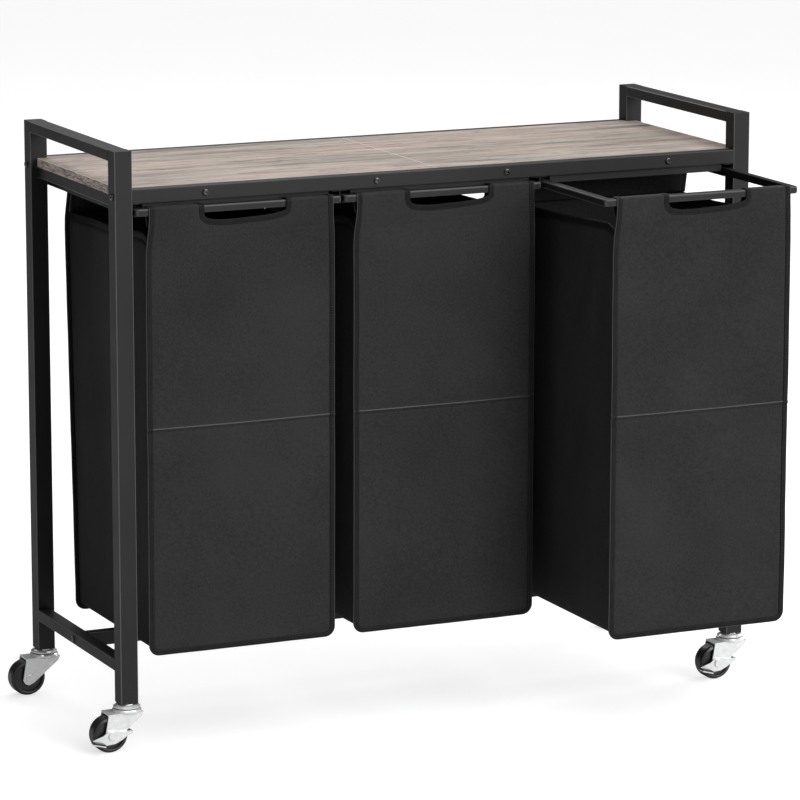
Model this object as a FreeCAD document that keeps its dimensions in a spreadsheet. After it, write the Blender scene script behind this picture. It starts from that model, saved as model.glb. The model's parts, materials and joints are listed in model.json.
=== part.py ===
"""Three-bag rolling laundry sorter: a steel frame with a split wooden shelf, three cloth bags
that slide out on bar frames, and four swivel casters, two of them with brake levers.

Axes: +X to the right, +Y to the back, +Z up, millimetres. The origin is on the floor, under the
middle of the whole object as it stands, with the right bag pulled out and the casters trailing
to the left.
"""
import FreeCAD, Part

import math
import os

import Sketcher

doc = FreeCAD.newDocument("laundry_sorter")
Vector = FreeCAD.Vector

DIMENSIONS = {
    # Whole frame
    "FrameWidth": 950, "FrameDepth": 350, "FrameHeight": 815, "OriginFromLeft": 456.5,
    "OriginFromFront": 84.25, "TubeWall": 1.2, "TubeRadius": 1.5,
    # Side frames
    "PostSize": 25, "TopRailTall": 15, "ShelfBarWide": 15, "ShelfBarTall": 15,
    "LowerBarWide": 20, "LowerBarTall": 16, "LowerBarTop": 123,
    # Long beams, their inserts and the shelf
    "BeamDeep": 15, "BeamTall": 20, "BeamTop": 764, "BeamJoint": 501, "LowerBeamMiddle": 182,
    "InsertGap": 0.1, "InsertLong": 115, "SpliceLong": 240, "BoardThick": 12, "BoardEndInset": 10,
    "BoardGap": 0.3, "SupportWide": 30, "SupportTall": 7.5,
    # Slide rails
    "RailSheet": 1.2, "RailWide": 12, "RailTall": 17.6, "RailDrop": 0.2, "RailFront": 4.5,
    "RailBack": 346, "StopBack": 6, "StopThick": 3, "StopTall": 10, "StopEndGap": 16,
    # Bag frames
    "BagPitch": 300, "BagFrameWide": 296, "BagFrameDeep": 308, "BagBarWide": 12, "BagBarTall": 10,
    "BagBarTop": 738, "BagFrameFront": -8, "BagFrameRadius": 6, "BagBarWall": 1.2,
    "BagBarRound": 2.5, "RightBagPull": 180,
    # Bags
    "BagWide": 271, "BagCloth": 2, "SleeveCloth": 1, "BagBottom": 136, "BagSideTop": 693,
    "BagFrontTuck": 3, "BagBackTuck": 25, "BagSideTuck": 3, "BagCornerRadius": 15,
    "GripWide": 122, "GripDrop": 25, "GripRadius": 16, "BaseThick": 3, "BaseMargin": 4,
    "BaseCorner": 12,
    # Casters
    "CasterTall": 65, "CasterTrail": 27, "WheelRadius": 25, "WheelWide": 23, "WheelRound": 4,
    "RimRadius": 19.5, "HubRadius": 8, "RimRecess": 3, "AxleRadius": 3, "WheelClearance": 0.05,
    "ForkSheet": 2, "ForkInside": 25, "ForkTop": 11, "ForkTipRadius": 9.5, "ForkRear": 4,
    "ForkFront": 19, "CrownRadius": 20, "CrownTall": 4, "CapRadius": 18.5, "CapTall": 4.5,
    "CapDrop": 1.5, "BallRadius": 1.2, "BallCircle": 14.5, "BallGap": 0.4, "StemRadius": 5,
    "StemUp": 24, "StemGap": 0.4, "RivetHead": 2, "AxleHeadRadius": 5.5, "SocketDeep": 22,
    # Brake levers
    "LeverSheet": 1.5, "LeverGap": 0.4, "LeverRear": 30, "LeverFront": 27, "LeverDrop": 12.5,
    "LeverTabOut": 10, "LeverTabLong": 17, "PadThick": 2.5, "ShoeHigh": 4,
    # Fasteners
    "BoltRadius": 2.5, "BoltHeadRadius": 4.5, "BoltHeadTall": 2.4, "BoltSocket": 1.5,
    "BeamBoltInner": 97.5, "BeamBoltOuter": 346.5, "BeamBoltLong": 12, "SideBoltBack": 9,
    "EndPlate": 3, "ScrewRadius": 1.6, "ScrewHeadRadius": 3, "ScrewHeadTall": 0.25,
    "RailScrewInset": 8.5, "RailScrewLong": 6, "WoodScrewBite": 8,
}

SHEET_NAME = "Dims"


def make_sheet():
    """Put every driving dimension in one spreadsheet, with its name as the cell's alias."""
    cells = doc.addObject("Spreadsheet::Sheet", SHEET_NAME)
    for row, (name, number) in enumerate(DIMENSIONS.items(), start=1):
        cells.set(f"A{row}", name)
        cells.set(f"B{row}", str(number))
        cells.setAlias(f"B{row}", name)
    doc.recompute()
    return cells


sheet = make_sheet()


class Size:
    """A length that carries its value and the spreadsheet expression that gives it."""

    def __init__(self, text, value):
        self.text = text
        self.value = value

    def join(self, sign, other, value):
        return Size(f"({self.text} {sign} {other.text})", value)

    def __add__(self, other):
        other = size(other)
        return self.join("+", other, self.value + other.value)

    def __sub__(self, other):
        other = size(other)
        return self.join("-", other, self.value - other.value)

    def __mul__(self, other):
        other = size(other)
        return self.join("*", other, self.value * other.value)

    def __truediv__(self, other):
        other = size(other)
        return self.join("/", other, self.value / other.value)

    def __neg__(self):
        return Size(f"(0 - {self.text})", -self.value)


def size(given):
    """A Size from an alias of the sheet, a plain number or a Size."""
    if isinstance(given, Size):
        return given
    if isinstance(given, str):
        return Size(f"{SHEET_NAME}.{given}", sheet.get(given))
    return Size(repr(float(given)), float(given))


def bind(item, prop, length):
    item.setExpression(prop, size(length).text)


def bind_base(item, x, y, z):
    """Bind the position of an object's placement."""
    for axis, length in zip("xyz", (x, y, z)):
        bind(item, f"Placement.Base.{axis}", length)


# ---------------------------------------------------------------- shared shape helpers

finished = []
TURNS = {
    "x": FreeCAD.Rotation(Vector(0, 1, 0), 90),
    "y": FreeCAD.Rotation(Vector(1, 0, 0), -90),
    "z": FreeCAD.Rotation(),
}


def keep(item, label):
    """Name a finished sub-part."""
    item.Label = label
    finished.append(item)
    return item


def box(name, x, y, z):
    """A box between two values along each axis."""
    item = doc.addObject("Part::Box", name)
    for prop, (low, high) in zip(("Length", "Width", "Height"), (x, y, z)):
        bind(item, prop, size(high) - low)
    bind_base(item, x[0], y[0], z[0])
    return item


def rod(name, radius, length, start, run="z"):
    """A cylinder that starts at a point and runs along +x, +y or +z."""
    item = doc.addObject("Part::Cylinder", name)
    bind(item, "Radius", radius)
    bind(item, "Height", length)
    item.Placement = FreeCAD.Placement(Vector(), TURNS[run])
    bind_base(item, *start)
    return item


def cut(name, base, tool):
    item = doc.addObject("Part::Cut", name)
    item.Base = base
    item.Tool = tool
    return item


def fuse(name, items):
    item = doc.addObject("Part::MultiFuse", name)
    item.Shapes = items
    return item


def group(name, items):
    """Several separate solids in one object."""
    item = doc.addObject("Part::Compound", name)
    item.Links = items
    return item


def runs_along(edge, axis):
    """Whether a straight edge is parallel to one of the axes."""
    if edge.Curve.TypeId != "Part::GeomLine":
        return False
    return abs(getattr(edge.Curve.Direction, axis)) > 0.99


def round_edges(name, base, radius, wanted):
    """Fillet the edges of a shape that a test picks out."""
    doc.recompute()
    amount = size(radius).value
    numbers = [i for i, edge in enumerate(base.Shape.Edges, start=1) if wanted(edge)]
    item = doc.addObject("Part::Fillet", name)
    item.Base = base
    item.Edges = [(i, amount, amount) for i in numbers]
    return item


def rounded_tube(name, x, y, z, run, low_wall=None, high_wall=None):
    """A rectangular tube with rounded corners. Each end along its run is open unless it is
    given a wall."""
    spans = dict(zip("xyz", (x, y, z)))
    outer = round_edges(name + "_skin", box(name + "_outer", x, y, z), "TubeRadius",
                        lambda edge: runs_along(edge, run))
    bore = {axis: (size(low) + "TubeWall", size(high) - "TubeWall")
            for axis, (low, high) in spans.items()}
    low, high = spans[run]
    bore[run] = (size(low) + (low_wall or -1), size(high) - (high_wall or -1))
    return cut(name + "_tube", outer, box(name + "_bore", bore["x"], bore["y"], bore["z"]))


def tube(label, x, y, z, run, drilled_by=None, high_wall=None):
    """A finished tube, with holes where its fasteners pass."""
    item = rounded_tube(label + "_plain", x, y, z, run, high_wall=high_wall)
    if drilled_by:
        item = cut(label + "_drilled", item, drilled_by)
    return keep(item, label)


def new_sketch(body, role, name, offset=0.0):
    """A sketch on one of the body's own origin planes, moved along the plane's normal."""
    plane = [f for f in body.Origin.OriginFeatures if f.Role == role][0]
    sketch = body.newObject("Sketcher::SketchObject", name)
    sketch.AttachmentSupport = [(plane, "")]
    sketch.MapMode = "FlatFace"
    bind(sketch, "AttachmentOffset.Base.z", offset)
    return sketch


def pin_point(sketch, line, end, across, up):
    """Fix a line's end at a distance from the sketch's origin, with both bound to the sheet."""
    for kind, length in (("DistanceX", across), ("DistanceY", up)):
        number = sketch.addConstraint(Sketcher.Constraint(kind, -1, 1, line, end, length.value))
        sketch.setExpression(f"Constraints[{number}]", length.text)


def outline(sketch, points):
    """A closed outline of straight lines through points given as pairs of sizes."""
    corners = [(size(across), size(up)) for across, up in points]
    first = sketch.GeometryCount
    count = len(corners)
    for i, (across, up) in enumerate(corners):
        next_across, next_up = corners[(i + 1) % count]
        sketch.addGeometry(Part.LineSegment(Vector(across.value, up.value, 0),
                                            Vector(next_across.value, next_up.value, 0)))
    for i, (across, up) in enumerate(corners):
        sketch.addConstraint(Sketcher.Constraint("Coincident", first + i, 2,
                                                 first + (i + 1) % count, 1))
        pin_point(sketch, first + i, 1, across, up)


def circle(sketch, across, up, radius):
    across, up, radius = size(across), size(up), size(radius)
    centre = Vector(across.value, up.value, 0)
    number = sketch.addGeometry(Part.Circle(centre, Vector(0, 0, 1), radius.value))
    pin_point(sketch, number, 3, across, up)
    rim = sketch.addConstraint(Sketcher.Constraint("Radius", number, radius.value))
    sketch.setExpression(f"Constraints[{rim}]", radius.text)


def pad(body, sketch, length, name):
    feature = body.newObject("PartDesign::Pad", name)
    feature.Profile = sketch
    bind(feature, "Length", length)
    return feature


def fillet_body(body, name, radius, wanted):
    """Round the edges of a body's last feature that a test picks out."""
    doc.recompute()
    base = body.Tip
    names = [f"Edge{i}" for i, edge in enumerate(base.Shape.Edges, start=1) if wanted(edge)]
    feature = body.newObject("PartDesign::Fillet", name)
    feature.Base = (base, names)
    bind(feature, "Radius", radius)
    return feature


# ---------------------------------------------------------------- places shared by many pieces

LEFT = -size("OriginFromLeft")
RIGHT = LEFT + "FrameWidth"
FRONT = -size("OriginFromFront")
BACK = FRONT + "FrameDepth"
MIDDLE = LEFT + size("FrameWidth") / 2
INNER_LEFT = LEFT + "PostSize"
INNER_RIGHT = RIGHT - "PostSize"
POST_CENTRES = {
    "front_left": (LEFT + size("PostSize") / 2, FRONT + size("PostSize") / 2),
    "front_right": (RIGHT - size("PostSize") / 2, FRONT + size("PostSize") / 2),
    "rear_left": (LEFT + size("PostSize") / 2, BACK - size("PostSize") / 2),
    "rear_right": (RIGHT - size("PostSize") / 2, BACK - size("PostSize") / 2),
}
BEAM_BOTTOM = size("BeamTop") - "BeamTall"
BOARD_BOTTOM = size("BeamTop") - "BoardThick"
BEAM_JOINT = LEFT + "BeamJoint"
LOWER_BEAM_FRONT = FRONT + "LowerBeamMiddle" - size("BeamDeep") / 2
LOWER_BEAM_BACK = LOWER_BEAM_FRONT + "BeamDeep"
LOWER_BEAM_BOTTOM = size("LowerBarTop") - "BeamTall"


# ---------------------------------------------------------------- fasteners

def on_outer_rim(edge, run, face, outward):
    """Whether an edge is the rim on the free side of a bolt's head."""
    if edge.Curve.TypeId != "Part::GeomCircle":
        return False
    return (getattr(edge.CenterOfMass, run) - face.value) * outward > 0.5


def socket_bolt(name, start, run, outward, length):
    """A round-headed bolt with a hexagon socket. Its head sits on the given point and points
    outward, which is +1 or -1 along the run."""
    tall = size("BoltHeadTall")
    place = dict(zip("xyz", (size(value) for value in start)))
    face = place[run]
    if outward > 0:
        starts = {"head": face, "shank": face - length, "socket": face + tall - "BoltSocket"}
    else:
        starts = {"head": face - tall, "shank": face, "socket": face - tall - 1}
    bases = {part: (place | {run: low}).values() for part, low in starts.items()}
    head = rod(name + "_head", "BoltHeadRadius", tall, bases["head"], run)
    dome = round_edges(name + "_dome", head, tall * 0.6,
                       lambda edge: on_outer_rim(edge, run, face, outward))
    shank = rod(name + "_shank", "BoltRadius", length, bases["shank"], run)
    socket = doc.addObject("Part::Prism", name + "_socket")
    socket.Polygon = 6
    bind(socket, "Circumradius", size("BoltHeadRadius") * 0.5)
    bind(socket, "Height", size("BoltSocket") + 1)
    socket.Placement = FreeCAD.Placement(Vector(), TURNS[run])
    bind_base(socket, *bases["socket"])
    return cut(name, fuse(name + "_solid", [dome, shank]), socket)


def screw(name, x, y, z, length):
    """A pan-head screw driven upward, with the underside of its head at the given height."""
    head = rod(name + "_head", "ScrewHeadRadius", "ScrewHeadTall",
               (x, y, size(z) - "ScrewHeadTall"))
    shank = rod(name + "_shank", "ScrewRadius", length, (x, y, z))
    return fuse(name, [head, shank])


def beam_bolts():
    """Bolts through the outer face of each long beam, into the inserts inside it."""
    middle_z = size("BeamTop") - size("BeamTall") / 2
    bolts = []
    for offset in ("BeamBoltInner", "BeamBoltOuter"):
        for x in (MIDDLE - offset, MIDDLE + offset):
            bolts.append(socket_bolt("front_bolt", (x, FRONT, middle_z), "y", -1, "BeamBoltLong"))
            bolts.append(socket_bolt("rear_bolt", (x, BACK, middle_z), "y", 1, "BeamBoltLong"))
    return keep(group("all_beam_bolts", bolts), "beam_bolts")


def side_bolts():
    """Bolts through the posts and the lower crossbars, into the end plates of the inserts."""
    upper_z = size("BeamTop") - size("BeamTall") / 2
    lower_z = size("LowerBarTop") - size("LowerBarTall") / 2
    spots = [(FRONT + "SideBoltBack", upper_z, "PostSize"),
             (BACK - "SideBoltBack", upper_z, "PostSize"),
             (FRONT + "LowerBeamMiddle", lower_z, "LowerBarWide")]
    bolts = []
    for y, z, thickness in spots:
        length = size(thickness) + "EndPlate" + 1
        bolts.append(socket_bolt("left_side_bolt", (LEFT, y, z), "x", -1, length))
        bolts.append(socket_bolt("right_side_bolt", (RIGHT, y, z), "x", 1, length))
    return keep(group("all_side_bolts", bolts), "side_frame_bolts")


def rail_screws():
    """Screws that hold each slide rail up against the front and rear beams."""
    webs = rail_webs()
    reach = size("RailWide") / 2
    across = [webs[0] + reach, webs[1] + reach, webs[2] + reach, webs[3] - reach]
    along = (FRONT + "RailScrewInset", BACK - "RailScrewInset")
    z = BEAM_BOTTOM - "RailDrop" - "RailSheet"
    screws = [screw("rail_screw", x, y, z, "RailScrewLong") for x in across for y in along]
    return keep(group("all_rail_screws", screws), "rail_screws")


def shelf_screws():
    """Wood screws up through the crossbars and the seam support into the shelf boards."""
    along = (FRONT + size("FrameDepth") / 4, BACK - size("FrameDepth") / 4)
    end_z = BOARD_BOTTOM - "ShelfBarTall"
    seam_z = BOARD_BOTTOM - "TubeWall"
    half_bar = size("ShelfBarWide") / 2
    quarter = size("SupportWide") / 4
    screws = []
    for y in along:
        for x in (INNER_LEFT - half_bar, INNER_RIGHT + half_bar):
            screws.append(screw("end_screw", x, y, end_z, size("ShelfBarTall") + "WoodScrewBite"))
        for x in (MIDDLE - quarter, MIDDLE + quarter):
            screws.append(screw("seam_screw", x, y, seam_z, size("TubeWall") + "WoodScrewBite"))
    return keep(group("all_shelf_screws", screws), "shelf_screws")


def rail_webs():
    """The left face of each slide rail's web, from left to right."""
    first = INNER_LEFT + "BagPitch" - size("RailSheet") / 2
    return [INNER_LEFT, first, first + "BagPitch", INNER_RIGHT - "RailSheet"]


# ---------------------------------------------------------------- side frames

def side_frame(side, outer, inner, shelf_bar, lower_bar, bolts, screws):
    """One welded end: two posts, the top rail that is also a handle, and two crossbars."""
    post_x = (outer, inner)
    front = (FRONT, FRONT + "PostSize")
    rear = (BACK - "PostSize", BACK)
    for end, span in (("front", front), ("rear", rear)):
        tube(f"{side}_{end}_post", post_x, span, ("CasterTall", "FrameHeight"), "z", bolts,
             high_wall="TubeWall")
    between = (front[1], rear[0])
    rail_low = size("FrameHeight") - "TopRailTall"
    tube(f"{side}_top_rail", post_x, between, (rail_low, "FrameHeight"), "y")
    shelf_bar_low = BOARD_BOTTOM - "ShelfBarTall"
    tube(f"{side}_shelf_crossbar", shelf_bar, between, (shelf_bar_low, BOARD_BOTTOM), "y", screws)
    lower_low = size("LowerBarTop") - "LowerBarTall"
    tube(f"{side}_lower_crossbar", lower_bar, between, (lower_low, "LowerBarTop"), "y", bolts)


def side_frames(bolts, screws):
    side_frame("left", LEFT, INNER_LEFT, (INNER_LEFT - "ShelfBarWide", INNER_LEFT),
               (LEFT, LEFT + "LowerBarWide"), bolts, screws)
    side_frame("right", INNER_RIGHT, RIGHT, (INNER_RIGHT, INNER_RIGHT + "ShelfBarWide"),
               (RIGHT - "LowerBarWide", RIGHT), bolts, screws)


# ---------------------------------------------------------------- beams and their inserts

UPPER_BEAM_Z = (BEAM_BOTTOM, size("BeamTop"))
BEAM_ROWS = {
    "front_beam": (INNER_LEFT, INNER_RIGHT, (FRONT, FRONT + "BeamDeep"), UPPER_BEAM_Z),
    "rear_beam": (INNER_LEFT, INNER_RIGHT, (BACK - "BeamDeep", BACK), UPPER_BEAM_Z),
    "lower_beam": (LEFT + "LowerBarWide", RIGHT - "LowerBarWide",
                   (LOWER_BEAM_FRONT, LOWER_BEAM_BACK), (LOWER_BEAM_BOTTOM, size("LowerBarTop"))),
}


def beams(bolts, screws):
    """The three long beams, each in two halves that meet at the joint."""
    holes = fuse("beam_holes", [bolts, screws])
    for name, (left_end, right_end, y, z) in BEAM_ROWS.items():
        tube(f"{name}_left", (left_end, BEAM_JOINT), y, z, "x", holes)
        tube(f"{name}_right", (BEAM_JOINT, right_end), y, z, "x", holes)


def inserts(bolts, end_bolts, screws):
    """Smaller tubes inside the beams: one at each end, closed by a plate that the side bolt
    screws into, and one splice across each joint."""
    ends = []
    splices = []
    margin = size("TubeWall") + "InsertGap"
    half = size("SpliceLong") / 2
    for name, (left_end, right_end, y, z) in BEAM_ROWS.items():
        fit_y = (y[0] + margin, y[1] - margin)
        fit_z = (z[0] + margin, z[1] - margin)
        ends.append(rounded_tube(name + "_left_insert", (left_end, left_end + "InsertLong"),
                                 fit_y, fit_z, "x", low_wall="EndPlate"))
        ends.append(rounded_tube(name + "_right_insert", (right_end - "InsertLong", right_end),
                                 fit_y, fit_z, "x", high_wall="EndPlate"))
        splices.append(rounded_tube(name + "_splice", (MIDDLE - half, MIDDLE + half), fit_y, fit_z,
                                    "x"))
    holes = fuse("insert_holes", [bolts, end_bolts, screws])
    keep(cut("drilled_ends", group("all_ends", ends), holes), "beam_end_inserts")
    keep(cut("drilled_splices", group("all_splices", splices), bolts), "beam_splices")


# ---------------------------------------------------------------- shelf

def shelf_board(label, x, notch_x, screws):
    """Half of the shelf. It fills the space between the beams, and its outer corners are
    notched round the posts."""
    gap = size("BoardGap")
    z = (BOARD_BOTTOM, size("BeamTop"))
    y = (FRONT + "BeamDeep" + gap, BACK - "BeamDeep" - gap)
    board = box(label + "_blank", x, y, z)
    above_below = (z[0] - 1, z[1] + 1)
    notches = [box(label + "_notch", notch_x, (FRONT, FRONT + "PostSize" + gap), above_below),
               box(label + "_notch", notch_x, (BACK - "PostSize" - gap, BACK), above_below)]
    keep(cut(label + "_board", board, fuse(label + "_notches", notches + [screws])), label)


def shelf(screws):
    half_gap = size("BoardGap") / 2
    inset = size("BoardEndInset")
    shelf_board("shelf_board_left", (LEFT + inset, MIDDLE - half_gap),
                (LEFT, INNER_LEFT + half_gap), screws)
    shelf_board("shelf_board_right", (MIDDLE + half_gap, RIGHT - inset),
                (INNER_RIGHT - half_gap, RIGHT), screws)
    half = size("SupportWide") / 2
    wall = size("TubeWall")
    y = (FRONT + "BeamDeep", BACK - "BeamDeep")
    z = (BOARD_BOTTOM - "SupportTall", BOARD_BOTTOM)
    channel = box("support_blank", (MIDDLE - half, MIDDLE + half), y, z)
    groove = box("support_groove", (MIDDLE - half + wall, MIDDLE + half - wall),
                 (y[0] - 1, y[1] + 1), (z[0] - 1, z[1] - wall))
    keep(cut("support", channel, fuse("support_cuts", [groove, screws])), "shelf_seam_support")


# ---------------------------------------------------------------- slide rails and stops

BAG_SIDES = ("left", "middle", "right")


def slide_rail(label, web_left, flange_sides, screws):
    """A rail folded from sheet: an upright web with a flange above and below, on one side or
    on both, that carries the arm of a bag frame."""
    sheet_thick = size("RailSheet")
    reach = size("RailWide") - sheet_thick
    y = (FRONT + "RailFront", FRONT + "RailBack")
    top = BEAM_BOTTOM - "RailDrop"
    bottom = top - "RailTall"
    x_low = web_left - reach if "left" in flange_sides else web_left
    x_high = web_left + sheet_thick
    if "right" in flange_sides:
        x_high = x_high + reach
    web = box(label + "_web", (web_left, web_left + sheet_thick), y, (bottom, top))
    upper = box(label + "_upper", (x_low, x_high), y, (top - sheet_thick, top))
    lower = box(label + "_lower", (x_low, x_high), y, (bottom, bottom + sheet_thick))
    keep(cut(label + "_rail", fuse(label + "_folds", [web, upper, lower]), screws), label)


def slide_rails(screws):
    webs = rail_webs()
    slide_rail("left_end_rail", webs[0], ["right"], screws)
    slide_rail("left_middle_rail", webs[1], ["left", "right"], screws)
    slide_rail("right_middle_rail", webs[2], ["left", "right"], screws)
    slide_rail("right_end_rail", webs[3], ["left"], screws)


def front_stops():
    """Flat strips welded under the front beam, one in each bay. The rear bar of a bag's frame
    meets its strip before the frame can leave the rails."""
    y = FRONT + "StopBack"
    strips = []
    for number in range(len(BAG_SIDES)):
        x = INNER_LEFT + size("BagPitch") * number
        strips.append(box("stop", (x + "StopEndGap", x + "BagPitch" - "StopEndGap"),
                          (y, y + "StopThick"), (BEAM_BOTTOM - "StopTall", BEAM_BOTTOM)))
    keep(group("stops", strips), "front_stop_strips")


# ---------------------------------------------------------------- bags



def bag_front(side):
    """The front of a bag's bar frame. The right bag stands pulled out."""
    front = FRONT + "BagFrameFront"
    return front - "RightBagPull" if side == "right" else front


def bag_left(number):
    """The left edge of a bag's bar frame, centred in its bay."""
    side_gap = (size("BagPitch") - "BagFrameWide") / 2
    return INNER_LEFT + size("BagPitch") * number + side_gap


def ring_block(name, x, y, z, inset, corner):
    """A block with upright corners rounded, smaller all round by the inset."""
    blank = box(name, (x[0] + inset, x[1] - inset), (y[0] + inset, y[1] - inset), z)
    return round_edges(name + "_round", blank, corner, lambda edge: runs_along(edge, "z"))


def bag_frame(side, number):
    """The rectangle of tube that a bag hangs from and that slides in the rails."""
    name = f"{side}_bag_frame"
    x = (bag_left(number), bag_left(number) + "BagFrameWide")
    y = (bag_front(side), bag_front(side) + "BagFrameDeep")
    z = (size("BagBarTop") - "BagBarTall", size("BagBarTop"))
    wall = size("BagBarWall")
    bar = size("BagBarWide")
    bore_z = (z[0] + wall, z[1] - wall)
    corner = size("BagFrameRadius")
    block = round_edges(name + "_soft", ring_block(name + "_outer", x, y, z, size(0), corner),
                        "BagBarRound", lambda edge: not runs_along(edge, "z"))
    skin = cut(name + "_skin", block,
               box(name + "_inside", (x[0] + bar, x[1] - bar), (y[0] + bar, y[1] - bar),
                   (z[0] - 1, z[1] + 1)))
    bore_in = bar - wall
    bore = cut(name + "_bore", ring_block(name + "_bore_outer", x, y, bore_z, wall, corner - wall),
               box(name + "_bore_inside", (x[0] + bore_in, x[1] - bore_in),
                   (y[0] + bore_in, y[1] - bore_in), bore_z))
    keep(cut(name + "_ring", skin, bore), name)


def tapered_block(name, x, y, z, side_tuck, front_tuck, back_tuck, corner):
    """A block that narrows downward, with its two long bottom edges rounded."""
    wedge = doc.addObject("Part::Wedge", name)
    x_low, x_high, y_low, y_high = size(x[0]), size(x[1]), size(y[0]), size(y[1])
    spans = {
        "Ymin": size(z[0]), "Ymax": size(z[1]),
        "Xmin": x_low + side_tuck, "Xmax": x_high - side_tuck,
        "Zmin": -(y_high - back_tuck), "Zmax": -(y_low + front_tuck),
        "X2min": x_low, "X2max": x_high, "Z2min": -y_high, "Z2max": -y_low,
    }
    for prop, length in spans.items():
        bind(wedge, prop, length)
    wedge.Placement = FreeCAD.Placement(Vector(), FreeCAD.Rotation(Vector(1, 0, 0), 90))
    bottom = size(z[0]).value

    def at_bottom(edge):
        return abs(edge.CenterOfMass.z - bottom) < 0.01 and runs_along(edge, "y")

    return round_edges(name + "_round", wedge, corner, at_bottom)


def bag(side, number):
    """The cloth bag: front and back panels sewn into sleeves round the bars, side panels whose
    hems hang lower, a floor, and a grip opening under the front bar."""
    name = f"{side}_bag"
    cloth = size("BagCloth")
    hem = size("SleeveCloth")
    left_gap = (size("BagFrameWide") - "BagWide") / 2
    x = (bag_left(number) + left_gap, bag_left(number) + left_gap + "BagWide")
    frame_y = (bag_front(side), bag_front(side) + "BagFrameDeep")
    y = (frame_y[0] - hem, frame_y[1] + hem)
    bar_z = (size("BagBarTop") - "BagBarTall", size("BagBarTop"))
    sleeve_z = (bar_z[0] - hem, bar_z[1] + hem)
    z = (size("BagBottom"), bar_z[0])
    corner = size("BagCornerRadius")
    tucks = [size(key) for key in ("BagSideTuck", "BagFrontTuck", "BagBackTuck")]
    skin = tapered_block(name + "_skin", x, y, z, *tucks, corner)
    space = tapered_block(name + "_space", (x[0] + cloth, x[1] - cloth),
                          (y[0] + cloth, y[1] - cloth), (z[0] + cloth, z[1]), *tucks,
                          corner - cloth)
    side_cut = box(name + "_side_cut", (x[0] - 1, x[1] + 1), (y[0] + cloth * 2, y[1] - cloth * 2),
                   (size("BagSideTop"), z[1] + 1))
    shell = cut(name + "_shell", skin, fuse(name + "_hollow", [space, side_cut]))
    sleeves = []
    for bar_front in (frame_y[0], frame_y[1] - "BagBarWide"):
        bar_y = (bar_front, bar_front + "BagBarWide")
        outer = box(name + "_sleeve", x, (bar_y[0] - hem, bar_y[1] + hem), sleeve_z)
        inner = box(name + "_bar_space", (x[0] - 1, x[1] + 1), bar_y, bar_z)
        sleeves.append(cut(name + "_sleeve_ring", outer, inner))
    middle_x = x[0] + size("BagWide") / 2
    grip_x = (middle_x - size("GripWide") / 2, middle_x + size("GripWide") / 2)
    grip = box(name + "_grip", grip_x, (y[0] - 1, frame_y[0] + "BagBarWide" + 2),
               (bar_z[0] - "GripDrop", sleeve_z[1] + 1))
    grip_bottom = (bar_z[0] - "GripDrop").value

    def lower_corner(edge):
        return runs_along(edge, "y") and abs(edge.CenterOfMass.z - grip_bottom) < 0.01

    grip_hole = round_edges(name + "_grip_round", grip, "GripRadius", lower_corner)
    keep(cut(name + "_cloth", fuse(name + "_sewn", [shell] + sleeves), grip_hole), f"{name}_cloth")
    base_board(name, x, y, tucks)


def base_board(name, x, y, tucks):
    """The stiff sheet that lies loose on the bag's floor."""
    margin = size("BagCloth") + "BaseMargin"
    side_tuck, front_tuck, back_tuck = tucks
    round_edge = side_tuck + "BagCornerRadius"
    board_x = (x[0] + round_edge, x[1] - round_edge)
    board_y = (y[0] + front_tuck + margin, y[1] - back_tuck - margin)
    low = size("BagBottom") + "BagCloth"
    blank = box(name + "_base_blank", board_x, board_y, (low, low + "BaseThick"))
    rounded = round_edges(name + "_base_round", blank, "BaseCorner",
                          lambda edge: runs_along(edge, "z"))
    keep(rounded, f"{name}_base_board")


# ---------------------------------------------------------------- casters

AXLE_DOWN = size("WheelRadius") - "CasterTall"      # axle height below the foot of the post
HALF_FORK = size("ForkInside") / 2


def place_body(body, corner):
    """Put a caster body's origin at the foot of its post."""
    bind_base(body, *POST_CENTRES[corner], "CasterTall")


def ring_profile(body, name, points):
    """Spin a half section, given as radius and height, round the upright axis."""
    sketch = new_sketch(body, "XZ_Plane", name + "_section")
    outline(sketch, points)
    feature = body.newObject("PartDesign::Revolution", name)
    feature.Profile = sketch
    feature.ReferenceAxis = (sketch, ["V_Axis"])
    feature.Angle = 360
    return feature


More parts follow.
